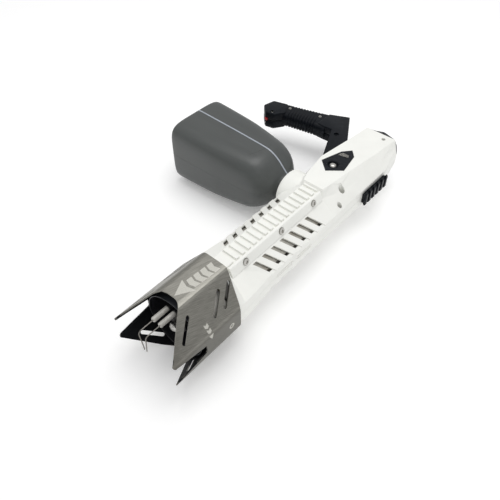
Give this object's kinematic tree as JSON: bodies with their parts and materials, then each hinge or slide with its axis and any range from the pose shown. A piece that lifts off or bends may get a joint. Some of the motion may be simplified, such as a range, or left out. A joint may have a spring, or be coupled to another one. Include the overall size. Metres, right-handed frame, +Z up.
{
  "type": "hand-held farm torch",
  "caption": "Hand-held flame torch for controlled burning: slotted body, folded steel muzzle shroud, side fuel tank, offset grip and accessory rails.",
  "frame": {"origin": "centre of the torch's box in x and y, at the height of the lowest face of the muzzle shroud", "axes": "+X towards the muzzle, +Y away from the tank and the grip, +Z up with the torch lying on its side"},
  "size_m": [0.4855, 0.274, 0.1046],
  "materials": {
    "white_nylon": "fine moulded texture, off-white",
    "black_nylon": "fine moulded texture, black",
    "grey_tank_plastic": "smooth semi-matte blow-moulded grey",
    "brushed_steel": "lengthwise brushed sheet",
    "liner_steel": "dull folded sheet",
    "bright_screw_steel": "bright turned steel",
    "ceramic": "glazed off-white ceramic",
    "red_plastic": "glossy red",
    "pale_level_strip": "pale translucent-looking strip",
    "brass": "turned brass",
    "battery_wrap": "shrink wrap",
    "circuit_board": "plain board"
  },
  "bodies": {
    "torch": {"accessory_rail": "black_nylon", "arm_bolt_1": "black_nylon", "barrel_liner": "liner_steel", "battery_pack": "battery_wrap", "body_shell_lower": "white_nylon", "body_shell_upper": "white_nylon", "button_bezel": "black_nylon", "control_board": "circuit_board", "control_panel": "black_nylon", "electrode_bracket": "bright_screw_steel", "electrode_far": "bright_screw_steel", "electrode_near": "bright_screw_steel", "feed_pipe": "brass", "flame_tube": "brushed_steel", "handle_lower": "black_nylon", "handle_screw_1": "bright_screw_steel", "handle_screw_2": "bright_screw_steel", "handle_screw_3": "bright_screw_steel", "handle_upper": "black_nylon", "insulator_far": "ceramic", "insulator_near": "ceramic", "motor_can": "bright_screw_steel", "muzzle_shroud": "brushed_steel", "nozzle_barrel": "black_nylon", "nozzle_bulkhead": "black_nylon", "nozzle_tip": "bright_screw_steel", "panel_badge": "bright_screw_steel", "pump_block": "brass", "rail_screw_1": "bright_screw_steel", "rail_screw_2": "bright_screw_steel", "rail_screw_3": "bright_screw_steel", "rail_screw_4": "bright_screw_steel", "rail_screw_5": "bright_screw_steel", "rail_screw_6": "bright_screw_steel", "rear_cap": "black_nylon", "shell_screw_1": "bright_screw_steel", "shell_screw_2": "bright_screw_steel", "shell_screw_3": "bright_screw_steel", "side_rail_lower": "white_nylon", "side_rail_upper": "white_nylon", "tank_mount": "white_nylon"},
    "tank": {"tank": "grey_tank_plastic", "level_strip": "pale_level_strip"},
    "power_button": {"power_button": "bright_screw_steel"},
    "red_button": {"red_button": "red_plastic"}
  },
  "joints": [
    {"name": "power_button_press", "type": "slide", "parent": "torch", "child": "power_button", "axis": [0.0689, 0, -0.9976], "range_m": [0, 0.0015], "stiffness_N_per_m": 400},
    {"name": "red_button_press", "type": "slide", "parent": "torch", "child": "red_button", "axis": [-1, 0, 0], "range_m": [0, 0.0012], "stiffness_N_per_m": 400},
    {"name": "tank_release", "type": "slide", "parent": "torch", "child": "tank", "axis": [0, -1, 0], "range_m": [0, 0.03]}
  ]
}
